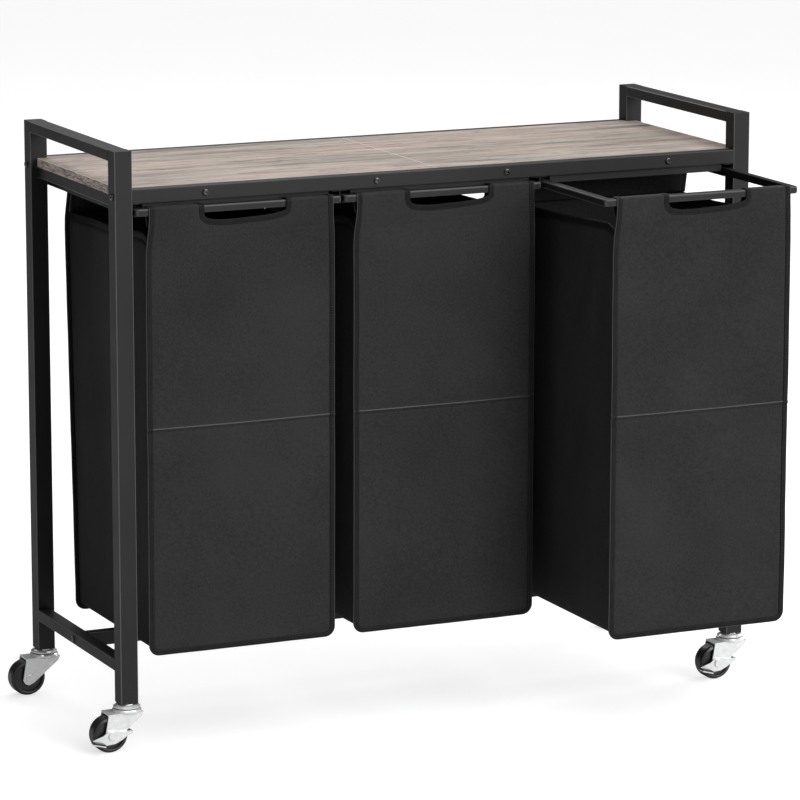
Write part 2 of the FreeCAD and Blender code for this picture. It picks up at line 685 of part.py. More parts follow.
def caster_fork(corner):
    """The swivelling fork: a round crown, a flat top and two side plates that taper to the
    axle."""
    body = doc.addObject("PartDesign::Body", f"{corner}_fork")
    trail = size("CasterTrail")
    top = -size("ForkTop")
    sheet_thick = size("ForkSheet")
    rear = -(trail + "ForkRear")
    tip = size("ForkTipRadius")
    sides = new_sketch(body, "XZ_Plane", "fork_side", -(HALF_FORK + sheet_thick))
    outline(sides, [
        (rear, top), (-(trail + tip), AXLE_DOWN - 2), (-(trail + tip * 0.7), AXLE_DOWN - tip * 0.75),
        (-(trail + tip * 0.1), AXLE_DOWN - tip), (-(trail - tip * 0.7), AXLE_DOWN - tip * 0.65),
        (size("ForkFront") - 3, top - 6), (size("ForkFront"), top)])
    plates = pad(body, sides, size("ForkInside") + sheet_thick * 2, "side_block")
    inside = new_sketch(body, "YZ_Plane", "fork_inside", rear - 15)
    outline(inside, [(-HALF_FORK, AXLE_DOWN - 20), (HALF_FORK, AXLE_DOWN - 20),
                     (HALF_FORK, top - sheet_thick), (-HALF_FORK, top - sheet_thick)])
    pocket = body.newObject("PartDesign::Pocket", "fork_space")
    pocket.Profile = inside
    pocket.Reversed = True
    bind(pocket, "Length", trail + "ForkFront" + 40)
    crown_top = top + "CrownTall"
    crown = size("CrownRadius")
    groove = size("BallCircle")
    ring_profile(body, "crown", [
        ("StemRadius", top - sheet_thick), (crown - 3, top - sheet_thick), (crown, top),
        (crown, crown_top - 1.5), (crown - 1.5, crown_top), (groove + 3, crown_top),
        (groove + 1.6, crown_top - 1.8), (groove - 1.6, crown_top - 1.8), (groove - 3, crown_top),
        ("StemRadius", crown_top)])
    bore = new_sketch(body, "XY_Plane", "stem_bore", top - sheet_thick - 1)
    circle(bore, 0, 0, size("StemRadius") + "StemGap")
    hole = body.newObject("PartDesign::Pocket", "stem_hole")
    hole.Profile = bore
    hole.Reversed = True
    bind(hole, "Length", size("CrownTall") + sheet_thick + 2)
    axle_hole = new_sketch(body, "XZ_Plane", "axle_hole", -(HALF_FORK + sheet_thick + 1))
    circle(axle_hole, -trail, AXLE_DOWN, "AxleRadius")
    hole = body.newObject("PartDesign::Pocket", "axle_holes")
    hole.Profile = axle_hole
    hole.Reversed = True
    bind(hole, "Length", size("ForkInside") + sheet_thick * 2 + 2)
    place_body(body, corner)
    return keep(body, f"{corner}_caster_fork")


def caster_wheel(corner):
    """The wheel: a tread with rounded shoulders, recessed sides and a hub."""
    half = size("WheelWide") / 2
    bore = size("AxleRadius") + "WheelClearance"
    rounding = size("WheelRound")
    radius = size("WheelRadius")
    body = doc.addObject("PartDesign::Body", f"{corner}_wheel")
    recess = half - "RimRecess"
    rows = [(bore, half), ("HubRadius", half), (size("HubRadius") + 0.6, recess),
            (size("RimRadius") - 0.8, recess), ("RimRadius", half - 0.3), (radius - rounding, half),
            (radius - rounding * 0.3, half - rounding * 0.3), (radius, half - rounding)]
    mirrored = [(across, -size(up)) for across, up in reversed(rows)]
    ring_profile(body, "wheel", rows + mirrored)
    body.Placement = FreeCAD.Placement(Vector(), FreeCAD.Rotation(Vector(1, 0, 0), 90))
    x, y = POST_CENTRES[corner]
    bind_base(body, x - "CasterTrail", y, "WheelRadius")
    return keep(body, f"{corner}_caster_wheel")


def caster_axle(corner, lever_side):
    """The riveted axle, longer on the side that carries a brake lever."""
    x, y = POST_CENTRES[corner]
    outside = HALF_FORK + "ForkSheet"
    near = outside + (size("LeverSheet") + size("LeverGap") * 2 if lever_side else 0)
    centre_x = x - "CasterTrail"
    z = size("WheelRadius")
    name = f"{corner}_axle"
    shaft = rod(name + "_shaft", "AxleRadius", near + outside, (centre_x, y - near, z), "y")
    heads = [rod(name + "_head", "AxleHeadRadius", "RivetHead", (centre_x, start, z), "y")
             for start in (y - near - "RivetHead", y + outside)]
    return keep(fuse(name, [shaft] + heads), f"{corner}_caster_axle")


def brake_lever(corner):
    """A foot lever on the axle: a curved plate outside the fork, a tab to press at its rear end
    and a shoe that crosses in front of the tread."""
    body = doc.addObject("PartDesign::Body", f"{corner}_lever")
    thick = size("LeverSheet")
    inner = HALF_FORK + "ForkSheet" + "LeverGap"
    rear = -size("LeverRear")
    front = size("LeverFront")
    drop = -size("LeverDrop")
    high = size("ShoeHigh")
    plate = new_sketch(body, "XZ_Plane", "lever_plate", inner)
    outline(plate, [
        (rear, drop * 0.62), (rear + 9, drop * 0.94), (rear + 20, drop), (4, drop * 0.9),
        (14, drop * 0.55), (front - 6, -2), (front, 0), (front + 3, high), (front - 2, high + 1),
        (12, 5), (4, 7), (-5, 7), (-13, 1), (rear + 2, drop * 0.3)])
    pad(body, plate, thick, "plate")
    tab = new_sketch(body, "XZ_Plane", "tab_section", inner)
    outline(tab, tab_section(0, thick))
    pad(body, tab, size("LeverTabOut") + thick, "tab")
    shoe = new_sketch(body, "XZ_Plane", "shoe_section", -HALF_FORK + 1)
    outline(shoe, [(front, 0), (front + 2.2, 0), (front + 3, high), (front + 0.8, high)])
    pad(body, shoe, HALF_FORK - 1 + inner, "shoe")
    hole = new_sketch(body, "XZ_Plane", "pivot", inner - 1)
    circle(hole, 0, 0, size("AxleRadius") + "WheelClearance")
    pocket = body.newObject("PartDesign::Pocket", "pivot_hole")
    pocket.Profile = hole
    pocket.Reversed = True
    bind(pocket, "Length", thick + 2)
    return keep(on_axle(body, corner), f"{corner}_brake_lever")


def tab_section(low, high):
    """The sloping section of the lever's tab, between two heights above its underside."""
    rear = -size("LeverRear")
    drop = -size("LeverDrop")
    inner_end = rear + "LeverTabLong"
    rear_foot = drop * 0.62
    inner_foot = drop * 0.98
    return [(rear, rear_foot + low), (inner_end, inner_foot + low),
            (inner_end, inner_foot + high), (rear, rear_foot + high)]


def brake_pad(corner):
    """The dark pad on top of the lever's tab."""
    body = doc.addObject("PartDesign::Body", f"{corner}_pad")
    thick = size("LeverSheet")
    outer = HALF_FORK + "ForkSheet" + "LeverGap" + thick
    section = new_sketch(body, "XZ_Plane", "pad_section", outer + 0.2)
    outline(section, tab_section(thick, thick + "PadThick"))
    pad(body, section, size("LeverTabOut") - 0.2, "pad")
    fillet_body(body, "pad_edges", 0.8, lambda edge: runs_along(edge, "y"))
    return keep(on_axle(body, corner), f"{corner}_brake_pad")


def on_axle(body, corner):
    """Put a body's origin at the middle of its caster's axle."""
    x, y = POST_CENTRES[corner]
    bind_base(body, x - "CasterTrail", y, "WheelRadius")
    return body


def stem(corner):
    """The threaded stem, with a collar under the post and a riveted head under the fork."""
    x, y = POST_CENTRES[corner]
    foot = size("CasterTall")
    head_top = foot - "ForkTop" - "ForkSheet" - "BallGap"
    bottom = head_top - "RivetHead"
    shaft = rod("stem_shaft", "StemRadius", foot + "StemUp" - bottom, (x, y, bottom))
    head = rod("stem_head", size("StemRadius") + 2.5, "RivetHead", (x, y, bottom))
    collar = doc.addObject("Part::Prism", "stem_collar")
    collar.Polygon = 6
    bind(collar, "Circumradius", size("StemRadius") * 2)
    bind(collar, "Height", "CapDrop")
    bind_base(collar, x, y, foot - "CapDrop")
    return fuse(f"{corner}_stem", [shaft, head, collar])


def raceway_cap(corner):
    """The domed upper half of the swivel bearing, pressed on the stem."""
    radius = size("CapRadius")
    low = -size("CapDrop") - "CapTall"
    high = -size("CapDrop")
    body = doc.addObject("PartDesign::Body", f"{corner}_cap")
    ring_profile(body, "cap", [
        ("StemRadius", low), (radius - 1, low), (radius, low + 0.8), (radius, low + 2),
        (radius - 2.5, high - 0.8), (radius - 5, high), ("StemRadius", high)])
    place_body(body, corner)
    return body


def bearing_balls(corner):
    """A ring of balls between the cap and the fork's crown."""
    x, y = POST_CENTRES[corner]
    centre_z = size("CasterTall") - "CapDrop" - "CapTall" - "BallRadius" - 0.02
    balls = []
    count = 16
    for i in range(count):
        angle = 2 * math.pi * i / count
        ball = doc.addObject("Part::Sphere", f"{corner}_ball")
        bind(ball, "Radius", "BallRadius")
        bind_base(ball, x + size("BallCircle") * math.cos(angle),
                  y + size("BallCircle") * math.sin(angle), centre_z)
        balls.append(ball)
    return group(f"{corner}_balls", balls)


def socket(corner, stems):
    """The square plug in the foot of the post that the stem screws into."""
    x, y = POST_CENTRES[corner]
    half = size("PostSize") / 2 - "TubeWall" - "InsertGap"
    foot = size("CasterTall")
    block = box(f"{corner}_plug", (x - half, x + half), (y - half, y + half),
                (foot, foot + "SocketDeep"))
    return cut(f"{corner}_socket", block, stems)


def casters():
    corners = list(POST_CENTRES)
    stems = keep(group("all_stems", [stem(corner) for corner in corners]), "caster_stems")
    keep(group("all_sockets", [socket(corner, stems) for corner in corners]), "caster_sockets")
    keep(group("all_caps", [raceway_cap(corner) for corner in corners]), "caster_raceway_caps")
    keep(group("all_balls", [bearing_balls(corner) for corner in corners]), "caster_bearing_balls")
    for corner in corners:
        has_brake = corner.startswith("front")
        caster_fork(corner)
        caster_wheel(corner)
        caster_axle(corner, has_brake)
        if has_brake:
            brake_lever(corner)
            brake_pad(corner)


# ---------------------------------------------------------------- assembly, checks and files

def build():
    bolts = beam_bolts()
    end_bolts = side_bolts()
    screws = rail_screws()
    wood_screws = shelf_screws()
    side_frames(end_bolts, wood_screws)
    beams(bolts, screws)
    inserts(bolts, end_bolts, screws)
    shelf(wood_screws)
    slide_rails(screws)
    front_stops()
    for number, side in enumerate(BAG_SIDES):
        bag_frame(side, number)
        bag(side, number)
    casters()
    doc.recompute()


def check():
    """Stop if any object failed to build or any finished shape is unsound."""
    for item in doc.Objects:
        if "Invalid" in item.State or "Error" in item.State:
            raise RuntimeError(f"{item.Label} did not build: {item.State}")
    for item in finished:
        if item.Shape.isNull() or not item.Shape.isValid() or not item.Shape.Solids:
            raise RuntimeError(f"{item.Label} has no valid solid")


def write():
    os.makedirs("parts", exist_ok=True)
    for item in finished:
        item.Shape.exportStep(f"parts/{item.Label}.step")
        print(f"{item.Label}: {len(item.Shape.Solids)} solid(s), {item.Shape.Volume / 1000:.2f} cm3")


build()
check()
write()
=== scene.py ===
"""The looks of a three-bag rolling laundry sorter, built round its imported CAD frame.

The steel frame, casters and shelf keep their CAD shapes and get procedural materials. The three
bags are built here as sewn cloth: one lofted shell each, with sleeves round the bars, bound
edges, hems and stitching. Lengths are metres in the frame of the CAD model: +X to the right,
+Y to the back, +Z up, with the floor at zero.
"""
import json
import math
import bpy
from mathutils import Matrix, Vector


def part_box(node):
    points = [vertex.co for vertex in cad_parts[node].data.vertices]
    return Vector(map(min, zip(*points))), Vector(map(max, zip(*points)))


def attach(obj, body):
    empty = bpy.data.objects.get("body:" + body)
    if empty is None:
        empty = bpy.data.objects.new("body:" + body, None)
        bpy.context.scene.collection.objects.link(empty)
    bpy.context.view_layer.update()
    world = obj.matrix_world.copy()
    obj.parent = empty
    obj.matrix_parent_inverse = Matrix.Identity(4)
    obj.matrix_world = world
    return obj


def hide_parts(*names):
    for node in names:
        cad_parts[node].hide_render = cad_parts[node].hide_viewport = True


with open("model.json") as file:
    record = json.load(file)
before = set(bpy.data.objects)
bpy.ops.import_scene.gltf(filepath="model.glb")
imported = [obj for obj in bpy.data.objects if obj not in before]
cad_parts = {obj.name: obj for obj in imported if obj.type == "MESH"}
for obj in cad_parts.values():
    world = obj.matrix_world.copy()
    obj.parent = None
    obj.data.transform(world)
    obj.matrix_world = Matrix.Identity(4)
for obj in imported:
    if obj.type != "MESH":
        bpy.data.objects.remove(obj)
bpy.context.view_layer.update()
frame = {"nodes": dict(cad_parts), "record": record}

from types import SimpleNamespace

import bmesh
import bpy
from mathutils import Vector, noise

MM = 0.001
SIDES = ("left", "middle", "right")
BEAMS = ("front_beam_left", "front_beam_right", "rear_beam_left", "rear_beam_right")


# ---------------------------------------------------------------- camera, floor and light

CAMERA_PLACE = (-2.4802, -5.4127, 1.6277)
CAMERA_YAW = math.radians(24.564)        # turned from +Y towards +X
CAMERA_PITCH = math.radians(11.371)      # below the horizon
CAMERA_LENS = 197.0
SENSOR = 36.0
AMBIENT_DIM = (0.035, 0.035, 0.036)
AMBIENT_BRIGHT = (0.36, 0.36, 0.365)
BRIGHT_SIDE = (0.5, -0.8, 0.33)
DAYLIGHT_FROM = (2.0, -4.4, 3.2)
DAYLIGHT_STRENGTH = 1.5
DAYLIGHT_SPREAD = math.radians(50)
# Name, place, aim, size and watts of each soft light.
SOFTBOXES = (("key", (2.4, -5.4, 2.2), (0.1, -0.1, 0.45), (2.6, 2.6), 95),
             ("top", (0.4, -0.4, 3.4), (0, 0, 0.4), (3.0, 3.0), 50),
             ("side", (4.6, 1.4, 2.2), (0, 0, 0.5), (2.4, 2.4), 100),
             ("back", (0.8, 4.4, 4.2), (0, 0, 0.4), (3.0, 2.0), 60))
FLOOR_REACH = 30
FLOOR_GLOW = 0.66


def add_camera():
    data = bpy.data.cameras.new("camera")
    data.sensor_width = SENSOR
    data.lens = CAMERA_LENS
    data.clip_end = 60
    camera = bpy.data.objects.new("camera", data)
    camera.location = CAMERA_PLACE
    camera.rotation_euler = (math.pi / 2 - CAMERA_PITCH, 0, -CAMERA_YAW)
    bpy.context.scene.collection.objects.link(camera)
    bpy.context.scene.camera = camera


def add_daylight(place, strength, spread):
    """An even light from one side, as soft as a very large and distant window."""
    data = bpy.data.lights.new("daylight", "SUN")
    data.energy = strength
    data.angle = spread
    light = bpy.data.objects.new("daylight", data)
    light.location = place
    light.rotation_euler = (-Vector(place)).to_track_quat("-Z", "Y").to_euler()
    bpy.context.scene.collection.objects.link(light)


def add_softbox(name, place, aim, size, power):
    data = bpy.data.lights.new(name, "AREA")
    data.shape = "RECTANGLE"
    data.size, data.size_y = size
    data.energy = power
    light = bpy.data.objects.new(name, data)
    light.location = place
    light.rotation_euler = (Vector(aim) - Vector(place)).to_track_quat("-Z", "Y").to_euler()
    bpy.context.scene.collection.objects.link(light)


def add_world():
    """A white studio behind the object, and a dim light from all round that is stronger from
    the front right than from the back left."""
    world = bpy.data.worlds.new("studio")
    bpy.context.scene.world = world
    world.use_nodes = True
    nodes, link = world.node_tree.nodes, world.node_tree.links.new
    direction = nodes.new("ShaderNodeTexCoord").outputs["Generated"]
    facing = nodes.new("ShaderNodeVectorMath")
    facing.operation = "DOT_PRODUCT"
    facing.inputs[1].default_value = BRIGHT_SIDE
    link(direction, facing.inputs[0])
    around = nodes.new("ShaderNodeValToRGB")
    spread = nodes.new("ShaderNodeMapRange")
    spread.inputs["From Min"].default_value = -1
    link(facing.outputs["Value"], spread.inputs["Value"])
    link(spread.outputs["Result"], around.inputs["Fac"])
    dim, bright = around.color_ramp.elements
    dim.position, dim.color = 0.2, (*AMBIENT_DIM, 1)
    bright.position, bright.color = 0.8, (*AMBIENT_BRIGHT, 1)
    mix = nodes.new("ShaderNodeMix")
    mix.data_type = "RGBA"
    factor, low, high = (socket for socket in mix.inputs if socket.enabled)
    high.default_value = (1, 1, 1, 1)
    link(around.outputs["Color"], low)
    link(nodes.new("ShaderNodeLightPath").outputs["Is Camera Ray"], factor)
    link(next(s for s in mix.outputs if s.enabled), nodes["Background"].inputs["Color"])


def add_floor():
    mesh = bpy.data.meshes.new("floor")
    corners = [(x * FLOOR_REACH, y * FLOOR_REACH, 0)
               for x, y in ((-1, -1), (1, -1), (1, 1), (-1, 1))]
    mesh.from_pydata(corners, [], [(0, 1, 2, 3)])
    floor = bpy.data.objects.new("floor", mesh)
    bpy.context.scene.collection.objects.link(floor)
    floor.data.materials.append(floor_material())


def add_studio():
    add_world()
    add_daylight(DAYLIGHT_FROM, DAYLIGHT_STRENGTH, DAYLIGHT_SPREAD)
    for name, place, aim, size, power in SOFTBOXES:
        add_softbox(name, place, aim, size, power)
    add_floor()
    view = bpy.context.scene.view_settings
    view.view_transform = "Standard"
    view.look = "None"


# ---------------------------------------------------------------- materials

class Material:
    """A node material that is being put together round one Principled shader."""

    def __init__(self, name, **sockets):
        self.made = bpy.data.materials.new(name)
        self.made.use_nodes = True
        self.tree = self.made.node_tree
        self.shader = self.tree.nodes["Principled BSDF"]
        self.place = self.node("ShaderNodeTexCoord").outputs["Object"]
        for socket, value in sockets.items():
            self.shader.inputs[socket.replace("_", " ")].default_value = value

    def node(self, kind, inputs=None, **settings):
        item = self.tree.nodes.new(kind)
        for name, value in settings.items():
            setattr(item, name, value)
        for name, value in (inputs or {}).items():
            self.feed(item.inputs[name], value)
        return item

    def feed(self, socket, value):
        if isinstance(value, bpy.types.NodeSocket):
            self.tree.links.new(value, socket)
        else:
            socket.default_value = value

    def math(self, operation, a, b=0.0):
        return self.node("ShaderNodeMath", {0: a, 1: b}, operation=operation).outputs[0]

    def stretched(self, scale, place=None):
        """A place, by default the one on the object, scaled along each axis."""
        mapping = self.node("ShaderNodeMapping", {"Vector": place or self.place, "Scale": scale})
        return mapping.outputs["Vector"]

    def split(self, vector):
        return self.node("ShaderNodeSeparateXYZ", {0: vector}).outputs

    def normal(self):
        """The three parts of the surface's normal, along the object's axes."""
        return self.split(self.node("ShaderNodeTexCoord").outputs["Normal"])

    def looking_along(self, axis):
        """1 on the faces that look along an axis."""
        return self.math("GREATER_THAN", self.math("ABSOLUTE", self.normal()[axis]), 0.7)

    def noise(self, scale, detail=2.0, roughness=0.5, vector=None, distortion=0.0):
        return self.node("ShaderNodeTexNoise", {
            "Vector": vector or self.place, "Scale": scale, "Detail": detail,
            "Roughness": roughness, "Distortion": distortion}).outputs["Fac"]

    def ramp(self, factor, stops):
        """A colour ramp through (position, colour) stops. A colour may be one grey value."""
        item = self.node("ShaderNodeValToRGB", {"Fac": factor})
        elements = item.color_ramp.elements
        while len(elements) < len(stops):
            elements.new(0.5)
        for element, (position, colour) in zip(elements, stops):
            element.position = position
            rgb = colour if isinstance(colour, tuple) else (colour,) * 3
            element.color = (*rgb, 1)
        return item.outputs["Color"]

    def mix(self, factor, a, b, blend="MIX"):
        item = self.node("ShaderNodeMix", data_type="RGBA", blend_type=blend)
        for name, value in (("Factor", factor), ("A", a), ("B", b)):
            socket = next(s for s in item.inputs if s.name == name and s.enabled)
            self.feed(socket, value)
        return next(s for s in item.outputs if s.enabled)

    def span(self, factor, low, high):
        """A value from 0 to 1 spread between two others."""
        return self.node("ShaderNodeMapRange", {
            "Value": factor, "To Min": low, "To Max": high}).outputs["Result"]

    def finish(self, colour=None, roughness=None, bumps=()):
        """Link the colour and roughness, and the bumps as (height, strength, distance)."""
        if colour is not None:
            self.feed(self.shader.inputs["Base Color"], colour)
        if roughness is not None:
            self.feed(self.shader.inputs["Roughness"], roughness)
        normal = None
        for height, strength, distance in bumps:
            inputs = {"Height": height, "Strength": strength, "Distance": distance}
            if normal is not None:
                inputs["Normal"] = normal
            normal = self.node("ShaderNodeBump", inputs).outputs["Normal"]
        if normal is not None:
            self.feed(self.shader.inputs["Normal"], normal)
        return self.made


def floor_material():
    """Seamless studio paper that shows white to the camera, with soft shadows."""
    made = Material("pale_floor")
    colour = made.ramp(made.noise(3, 3), [(0.3, 0.58), (0.7, 0.60)])
    shown = made.node("ShaderNodeLightPath").outputs["Is Camera Ray"]
    made.feed(made.shader.inputs["Emission Strength"], made.math("MULTIPLY", shown, FLOOR_GLOW))
    made.shader.inputs["Emission Color"].default_value = (1, 1, 1, 1)
    return made.finish(colour, made.span(made.noise(8), 0.55, 0.7))


EDGE_HIGHLIGHT_POST, EDGE_HIGHLIGHT_BAR, EDGE_HIGHLIGHT_BEAM = 0.17, 0.07, 0.035    # how pale the painted highlight on the coat's rounded edges is


def powder_coat(name="powder_coat", edge_highlight=EDGE_HIGHLIGHT_POST):
    """Black powder coat: a fine orange-peel skin, uneven in gloss, with a painted highlight on its
    rounded edges.
    """
    made = Material(name, Specular_IOR_Level=0.32)
    cloudy = made.noise(9, 4)
    base = made.ramp(cloudy, [(0.3, 0.0085), (0.7, 0.0120)])
    # Painted highlight: the rounded edges are coloured paler, as if they caught the light.
    highlight_mask = made.math("MULTIPLY", rounded_edges(made), made.span(made.noise(60, 3), 0.7, 1.1))
    colour = made.mix(made.math("MINIMUM", highlight_mask, 1.0), base,
                      (edge_highlight, edge_highlight, edge_highlight * 1.01, 1))
    peel = made.noise(1500, 2)
    return made.finish(colour, made.span(made.noise(30, 3), 0.40, 0.52),
                       [(peel, 0.25, 0.15 * MM)])


def rounded_edges(made):
    """1 where a face looks half way between two axes, as the rounded edges of the tubes do."""
    x, y, z = (made.math("MULTIPLY", out, out) for out in made.normal())
    pairs = made.math("ADD", made.math("ADD", made.math("MULTIPLY", x, y),
                                       made.math("MULTIPLY", y, z)), made.math("MULTIPLY", z, x))
    return made.math("MINIMUM", made.math("MULTIPLY", pairs, 4.5), 1.0)


def plain_steel():
    made = Material("plain_steel", Metallic=1.0)
    colour = made.ramp(made.noise(60, 3), [(0.3, 0.35), (0.7, 0.47)])
    return made.finish(colour, made.span(made.noise(200), 0.3, 0.45))


def bright_zinc():
    """Bright zinc plate with faint spangle, fine scratches and duller patches."""
    made = Material("bright_zinc", Metallic=0.5)
    spangle = made.noise(160, 3)
    colour = made.ramp(spangle, [(0.3, (0.80, 0.81, 0.82)), (0.7, (0.96, 0.96, 0.95))])
    scratches = made.noise(1, 2, vector=made.stretched((300, 300, 2500)))
    roughness = made.span(made.noise(70, 3), 0.13, 0.30)
    return made.finish(colour, roughness, [(scratches, 0.08, 0.05 * MM)])


def dark_bolt():
    made = Material("black_oxide", Coat_Weight=1.0, Coat_Roughness=0.08)
    colour = made.ramp(made.noise(400, 2), [(0.3, 0.006), (0.7, 0.012)])
    return made.finish(colour, made.span(made.noise(500), 0.15, 0.25))


def wheel_plastic():
    """Black moulded plastic with a thin sheen and faint turning marks."""
    made = Material("wheel_plastic", Coat_Weight=0.25, Coat_Roughness=0.2)
    colour = made.ramp(made.noise(120, 3), [(0.3, 0.010), (0.7, 0.016)])
    return made.finish(colour, made.span(made.noise(90, 3), 0.28, 0.42),
                       [(made.noise(900, 2), 0.12, 0.1 * MM)])


def dull_plastic():
    made = Material("dull_plastic")
    colour = made.ramp(made.noise(150, 3), [(0.3, 0.016), (0.7, 0.026)])
    return made.finish(colour, made.span(made.noise(200), 0.5, 0.65),
                       [(made.noise(1200, 2), 0.3, 0.15 * MM)])


def weave(made, pitch):
    """The height of a plain weave that follows the two axes each side of the bag lies along."""
    turns = made.split(made.stretched((2 * math.pi / pitch,) * 3))
    x, y, z = (made.math("SINE", turn) for turn in turns)
    across = made.mix(made.looking_along(0), x, y)
    along = made.mix(made.looking_along(2), z, y)
    return made.math("MULTIPLY", across, along)


def bag_cloth():
    """Black oxford polyester: a plain weave with slubs, slightly uneven in shade."""
    made = Material("bag_cloth", Specular_IOR_Level=0.25, Sheen_Weight=0.03, Sheen_Roughness=0.4)
    threads = weave(made, 1.1 * MM)
    mottle = made.mix(0.65, made.noise(7, 4), made.noise(330, 4, 0.7))
    base = made.ramp(mottle, [(0.40, 0.013), (0.60, 0.026)])
    colour = made.mix(made.span(threads, 0.0, 0.35), base, (0.008, 0.008, 0.0083, 1))
    slubs = made.noise(1, 3, vector=made.stretched((120, 120, 900)))
    return made.finish(colour, made.span(made.noise(180, 2), 0.68, 0.82), [
        (threads, 0.35, 0.25 * MM), (slubs, 0.2, 0.2 * MM), (made.noise(45, 4), 0.25, 0.8 * MM)])


def binding_tape():
    """Ribbed polypropylene tape, a little shinier and darker than the cloth."""
    made = Material("binding_tape", Specular_IOR_Level=0.18)
    ribs = weave(made, 1.7 * MM)
    colour = made.ramp(made.noise(90, 3), [(0.3, 0.0035), (0.7, 0.0075)])
    return made.finish(colour, made.span(made.noise(150), 0.55, 0.68),
                       [(ribs, 0.5, 0.3 * MM), (made.noise(500, 2), 0.25, 0.3 * MM)])


def sewing_thread():
    made = Material("sewing_thread")
    colour = made.ramp(made.noise(900, 2), [(0.3, 0.025), (0.7, 0.055)])
    twist = made.noise(2500, 1)
    return made.finish(colour, made.span(made.noise(400), 0.45, 0.6), [(twist, 0.3, 0.1 * MM)])


def stiffener_board():
    made = Material("stiffener_board")
    colour = made.ramp(made.noise(70, 4), [(0.3, 0.013), (0.7, 0.022)])
    return made.finish(colour, made.span(made.noise(90), 0.6, 0.75),
                       [(made.noise(800, 2), 0.3, 0.2 * MM)])


# Knots of the shelf's print: place along X and Y, then half length and half width of each.
KNOTS = ((-0.318, 0.070, 0.060, 0.011), (-0.120, 0.185, 0.050, 0.010),
         (0.115, 0.105, 0.075, 0.013), (0.330, 0.030, 0.055, 0.010))
# Widths of the painted highlight along the boards' ends and their seam.
END_HIGHLIGHT_WIDE = 2 * MM
SEAM_HIGHLIGHT_WIDE = 0.9 * MM


def greige_oak():
    """A printed oak: long streaks along X that bend round a few knots, with a painted highlight
    in thin pale bands on the top at the ends and the seam."""
    made = Material("greige_oak")
    x, y, z = made.split(made.place)
    bend = 0.0
    dark = 0.0
    for knot_x, knot_y, long, wide in KNOTS:
        u = made.math("DIVIDE", made.math("SUBTRACT", x, knot_x), long)
        v = made.math("DIVIDE", made.math("SUBTRACT", y, knot_y), wide)
        far = made.math("ADD", made.math("MULTIPLY", u, u), made.math("MULTIPLY", v, v))
        near = made.math("DIVIDE", 1.0, made.math("ADD", 1.0, made.math("MULTIPLY", far, far)))
        push = made.math("MULTIPLY", made.math("MULTIPLY", v, near), -wide * 0.9)
        bend = made.math("ADD", push, bend)
        dark = made.math("ADD", made.math("POWER", near, 6.0), dark)
    bent = made.node("ShaderNodeCombineXYZ", {0: x, 1: made.math("ADD", y, bend), 2: z}).outputs[0]
    grain_place = made.stretched((1.0, 15.0, 15.0), bent)
    broad = made.noise(3.2, 8, 0.62, grain_place, 0.35)
    greyed = made.noise(2.2, 3, 0.5, grain_place)
    streaks = made.noise(1.0, 6, 0.68, made.stretched((11.0, 85.0, 85.0), bent), 0.6)
    dashes = made.noise(1.0, 3, 0.6, made.stretched((38.0, 190.0, 190.0), bent), 0.4)
    fine = made.noise(1.0, 6, 0.7, made.stretched((9.0, 420.0, 420.0), bent))
    warm = made.ramp(broad, [(0.30, (0.255, 0.205, 0.172)), (0.44, (0.380, 0.300, 0.258)),
                             (0.60, (0.470, 0.372, 0.322))])
    grey = made.ramp(broad, [(0.32, (0.170, 0.150, 0.124)), (0.48, (0.330, 0.290, 0.246)),
                             (0.62, (0.430, 0.372, 0.322))])
    base = made.mix(made.ramp(greyed, [(0.42, 0.0), (0.56, 1.0)]), warm, grey)
    streaked = made.mix(1.0, base, made.ramp(streaks, [(0.34, 0.52), (0.46, 0.90), (0.62, 1.1)]),
                        "MULTIPLY")
    dashed = made.mix(1.0, streaked, made.ramp(dashes, [(0.31, 0.45), (0.40, 1.0)]), "MULTIPLY")
    topped = made.mix(1.0, dashed, made.ramp(fine, [(0.30, 0.80), (0.60, 1.06)]), "MULTIPLY")
    knotted = made.mix(made.math("MINIMUM", made.math("MULTIPLY", dark, 0.55), 1.0), topped,
                       (0.13, 0.112, 0.092, 1))
    colour = made.mix(made.looking_along(0), knotted, end_grain(made))
    # Painted highlight: a pale band on the top along the boards' ends and their seam.
    colour = made.mix(edge_highlight_mask(made, x), colour, (0.62, 0.54, 0.49, 1))
    return made.finish(colour, made.span(fine, 0.50, 0.66), [
        (fine, 0.18, 0.25 * MM), (broad, 0.15, 0.6 * MM)])


def end_grain(made):
    """The edge band's print: coarse dark flecks along Y on a pale ground."""
    flecks = made.noise(1.0, 5, 0.7, made.stretched((40, 45, 260)), 1.2)
    return made.ramp(flecks, [(0.38, (0.17, 0.13, 0.11)), (0.50, (0.52, 0.43, 0.38)),
                              (0.60, (0.74, 0.63, 0.57))])


def edge_highlight_mask(made, x):
    """1 in a thin band on the top at the boards' ends and their seam, where the painted highlight
    of their edges lies.
    """
    left_low, left_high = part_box("shelf_board_left")
    right_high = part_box("shelf_board_right")[1]
    mask = 0.0
    for place, wide in ((left_low.x, END_HIGHLIGHT_WIDE), (left_high.x, SEAM_HIGHLIGHT_WIDE),
                        (right_high.x, END_HIGHLIGHT_WIDE)):
        near = made.math("ABSOLUTE", made.math("SUBTRACT", x, place))
        mask = made.math("ADD", made.math("LESS_THAN", near, wide), mask)
    top_only = made.math("SUBTRACT", 1.0, made.looking_along(0))
    return made.math("MULTIPLY", made.math("MINIMUM", mask, 1.0), top_only)


def dress(material, names):
    """Give CAD nodes one material."""
    for name in names:
        data = frame["nodes"][name].data
        data.materials.clear()
        data.materials.append(material)


